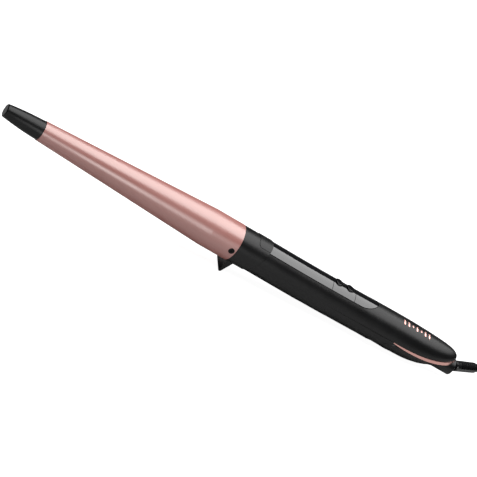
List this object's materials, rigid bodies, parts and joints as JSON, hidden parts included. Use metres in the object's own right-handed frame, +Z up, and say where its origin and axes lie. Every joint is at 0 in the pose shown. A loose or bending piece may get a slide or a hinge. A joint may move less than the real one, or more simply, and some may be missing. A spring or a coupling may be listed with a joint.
{
  "type": "curling wand",
  "caption": "Conical curling wand with a tapered heated barrel, cool tip, stand foot, handle with two buttons, ball-jointed mains cord and a two-pin plug.",
  "frame": {"origin": "on the table, under the middle of the wand's own box (the cord set is left out of that box)", "axes": "+X from the cool tip to the cord end, +Z up from the table; the control panel faces up and the wand lies on its foot and the heel of its handle"},
  "size_m": [0.5242, 0.0482, 0.035],
  "materials": {
    "black_matte": "fine satin-matt moulded plastic",
    "rose_barrel": "satin rose ceramic coating on aluminium",
    "dark_steel": "blackened steel",
    "heatproof_plastic": "glass-filled heat-proof plastic",
    "cast_aluminium": "as extruded",
    "ceramic": "sintered ceramic",
    "brass": "plain",
    "glass_bead": "glass bead",
    "rose_trim": "rose metal plating",
    "black_gloss": "high gloss",
    "button_gloss": "gloss with a dished top",
    "board_green": "solder mask",
    "dark_plastic": "moulded",
    "lens": "diffuse lens",
    "capacitor_case": "moulded case",
    "wire_insulation": "silicone insulation",
    "cord_rubber": "soft PVC sheath",
    "tie_rubber": "soft strap",
    "plug_plastic": "moulded PVC",
    "pin_metal": "nickel-plated brass"
  },
  "bodies": {
    "wand": {"cool_tip": "black_matte", "barrel_tube": "rose_barrel", "barrel_screws": "dark_steel", "mount_sleeve": "heatproof_plastic", "collar": "black_matte", "heat_spreader_upper": "cast_aluminium", "heat_spreader_lower": "cast_aluminium", "heating_tiles": "ceramic", "electrode_strips": "brass", "thermal_fuse": "brass", "thermistor": "glass_bead", "upper_shell": "black_matte", "lower_shell": "black_matte", "case_screws": "dark_steel", "accent_trim": "rose_trim", "control_panel": "black_gloss", "button_plate": "black_gloss", "circuit_board": "board_green", "tact_switches": "dark_plastic", "status_leds": "lens", "controller_chip": "dark_plastic", "triac": "dark_plastic", "film_capacitor": "capacitor_case", "heater_wires": "wire_insulation", "supply_wires": "wire_insulation", "hub_socket": "black_matte", "slip_contacts": "brass"},
    "power_key": {"power_button": "button_gloss"},
    "heat_key": {"heat_button": "button_gloss"},
    "cord_set": {"cord_tube": "cord_rubber", "cord_tail": "cord_rubber", "cord_hank": "cord_rubber", "cord_tie": "tie_rubber", "plug_body": "plug_plastic", "plug_pins": "pin_metal"},
    "swivel": {"strain_relief": "cord_rubber"}
  },
  "joints": [
    {"name": "power_press", "type": "slide", "parent": "wand", "child": "power_key", "axis": [-0.0563, 0, -0.9984], "range_m": [0, 0.0005], "stiffness_N_per_m": 3000},
    {"name": "heat_press", "type": "slide", "parent": "wand", "child": "heat_key", "axis": [-0.0563, 0, -0.9984], "range_m": [0, 0.0005], "stiffness_N_per_m": 3000},
    {"name": "cord_pan", "type": "hinge", "parent": "wand", "child": "cord_set", "pos_m": [0.16987, 0, 0.00907], "axis": [0, 0, 1], "range_deg": [-64, 0]},
    {"name": "cord_twist", "type": "hinge", "parent": "cord_set", "child": "swivel", "pos_m": [0.16987, 0, 0.00907], "axis": [0.846, 0.5286, -0.0698], "continuous": true}
  ]
}
